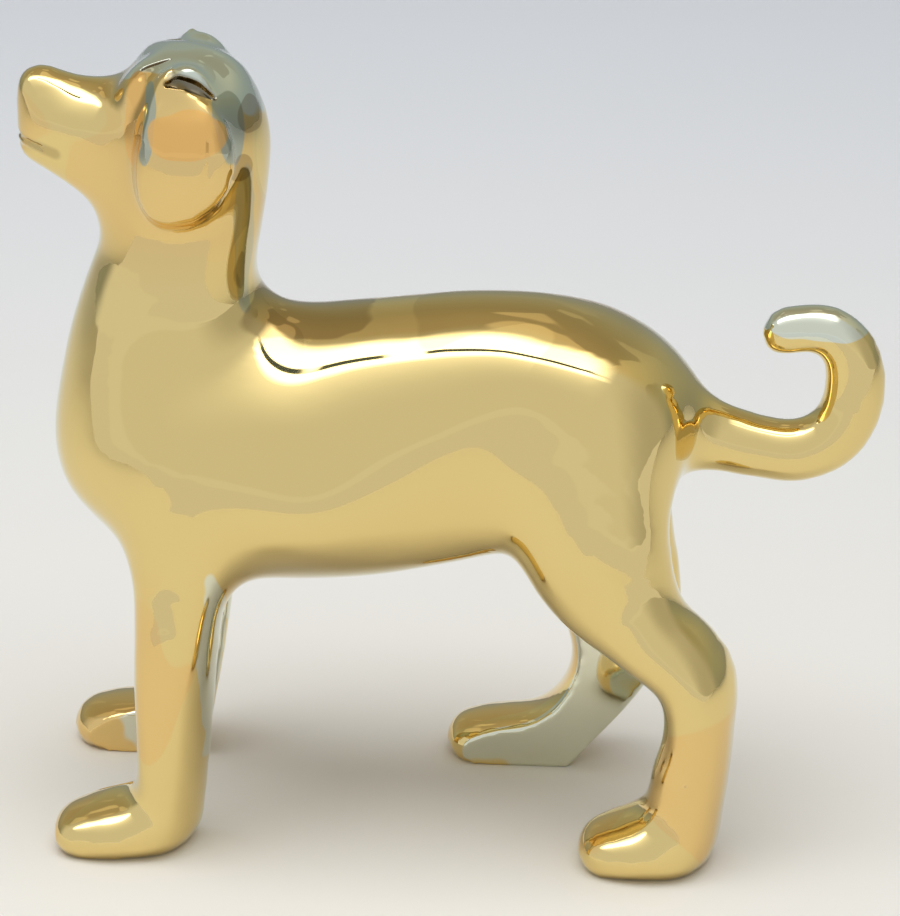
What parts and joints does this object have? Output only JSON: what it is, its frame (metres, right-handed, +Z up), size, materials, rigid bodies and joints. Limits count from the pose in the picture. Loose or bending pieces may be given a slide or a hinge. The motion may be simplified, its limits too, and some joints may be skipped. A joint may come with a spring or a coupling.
{
  "type": "dog figurine",
  "caption": "Standing dog figurine in gold-lustre crystal, head raised and tail curled, a hind paw stepping forward.",
  "frame": {"origin": "on the ground under the middle of the dog's bounding box", "axes": "+Z up, -X the way the nose points, +X toward the tail, -Y the dog's left side"},
  "size_m": [0.1586, 0.066, 0.1491],
  "materials": {
    "lustre": "polished crystal under a mirror gold lustre film"
  },
  "bodies": {
    "root": {"torso": "lustre", "head": "lustre", "left_ear": "lustre", "right_ear": "lustre", "left_front_leg": "lustre", "right_front_leg": "lustre", "left_hind_leg": "lustre", "right_hind_leg": "lustre", "tail": "lustre"}
  },
  "joints": []
}
